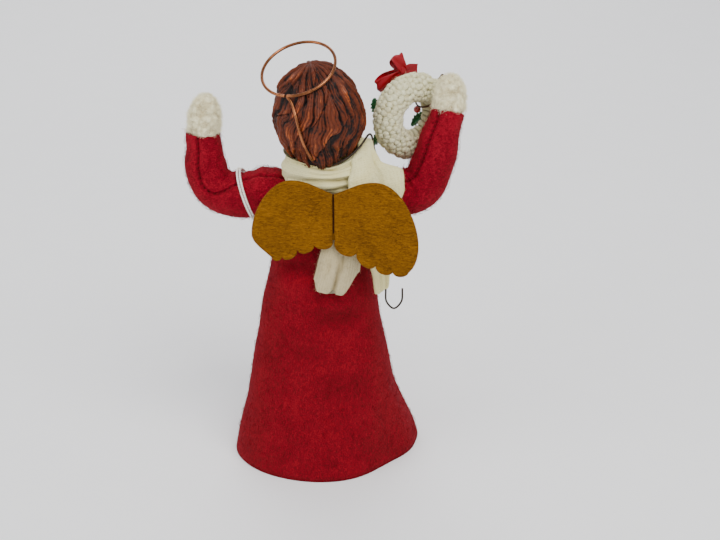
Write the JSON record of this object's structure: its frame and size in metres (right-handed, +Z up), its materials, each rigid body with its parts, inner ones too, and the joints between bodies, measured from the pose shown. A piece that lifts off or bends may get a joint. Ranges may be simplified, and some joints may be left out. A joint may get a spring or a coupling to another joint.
{
  "type": "angel tree ornament",
  "caption": "Felt angel ornament with a cone robe, raised arms, flat wings, knitted scarf, wire halo, yarn wreath in one hand and a wire hanger.",
  "frame": {"origin": "on the ground under the middle of the whole figure's box, at the height of the robe's hem", "axes": "+Z up to the halo, the figure faces -Y and shows its wings to +Y, +X at its left hand"},
  "size_m": [0.1072, 0.0611, 0.1696],
  "materials": {
    "red_felt": "soft wool felt, matt",
    "gold_felt": "soft wool felt, matt",
    "cream_knit": "ribbed knit, matt",
    "cream_chenille": "short dense pile, matt",
    "white_cotton": "cotton yarn and stuffing, matt",
    "painted_head": "moulded resin, painted and varnished",
    "copper_wire": "bare copper wire, satin",
    "dark_wire": "black lacquered wire, satin",
    "steel_wire": "bare steel wire",
    "brown_wire": "brown lacquered wire",
    "wood": "plain turned wood",
    "brown_thread": "sewing thread",
    "red_satin": "woven satin ribbon, sheen",
    "green_leaf": "pressed leaf, satin",
    "red_berry": "high gloss"
  },
  "bodies": {
    "robe": {"robe": "red_felt", "torso_padding": "white_cotton", "neck_peg": "wood", "scarf": "cream_knit", "wing_seam": "brown_thread", "hanger": "dark_wire"},
    "head": {"head": "painted_head", "halo": "copper_wire"},
    "left_arm": {"left_upper_sleeve": "red_felt", "left_upper_stem": "cream_chenille", "left_upper_wire": "steel_wire", "arm_cord": "white_cotton", "cord_knot": "white_cotton"},
    "left_forearm": {"left_lower_sleeve": "red_felt", "left_hand": "cream_chenille", "left_lower_wire": "steel_wire"},
    "right_arm": {"right_upper_sleeve": "red_felt", "right_upper_stem": "cream_chenille", "right_upper_wire": "steel_wire"},
    "right_forearm": {"right_lower_sleeve": "red_felt", "right_hand": "cream_chenille", "right_lower_wire": "steel_wire", "wreath_tie": "brown_wire"},
    "left_wing": {"left_wing": "gold_felt"},
    "right_wing": {"right_wing": "gold_felt"},
    "wreath": {"wreath_core": "white_cotton", "wreath_winding": "white_cotton", "bow": "red_satin", "leaf_1": "green_leaf", "leaf_2": "green_leaf", "leaf_3": "green_leaf", "leaf_4": "green_leaf", "leaf_5": "green_leaf", "berry_1": "red_berry", "berry_2": "red_berry", "berry_3": "red_berry", "berry_4": "red_berry", "berry_5": "red_berry"}
  },
  "joints": [
    {"name": "head_turn", "type": "hinge", "parent": "robe", "child": "head", "pos_m": [-0.0013, 0, 0.118], "axis": [0.1392, 0, 0.9903], "range_deg": [-12, 12]},
    {"name": "left_shoulder", "type": "hinge", "parent": "robe", "child": "left_arm", "pos_m": [0.0165, 0, 0.1115], "axis": [0, 1, 0], "range_deg": [-8, 10]},
    {"name": "left_elbow", "type": "hinge", "parent": "left_arm", "child": "left_forearm", "pos_m": [0.04438, 0, 0.11289], "axis": [0, 1, 0], "range_deg": [-8, 30]},
    {"name": "right_shoulder", "type": "hinge", "parent": "robe", "child": "right_arm", "pos_m": [-0.0165, 0, 0.1115], "axis": [0, -1, 0], "range_deg": [0, 10]},
    {"name": "right_elbow", "type": "hinge", "parent": "right_arm", "child": "right_forearm", "pos_m": [-0.03705, -0.0001, 0.1119], "axis": [0, -1, 0], "range_deg": [0, 20]},
    {"name": "wreath_swing", "type": "hinge", "parent": "right_forearm", "child": "wreath", "pos_m": [-0.04024, -0.01607, 0.14697], "axis": [-0.593, -0.3851, -0.7071], "range_deg": [0, 20]},
    {"name": "left_wing_flap", "type": "hinge", "parent": "robe", "child": "left_wing", "pos_m": [-0.0034, 0.01985, 0.1174], "axis": [0, 0, 1], "range_deg": [0, 40]},
    {"name": "right_wing_flap", "type": "hinge", "parent": "robe", "child": "right_wing", "pos_m": [-0.0034, 0.01985, 0.1174], "axis": [0, 0, -1], "range_deg": [0, 40]}
  ]
}
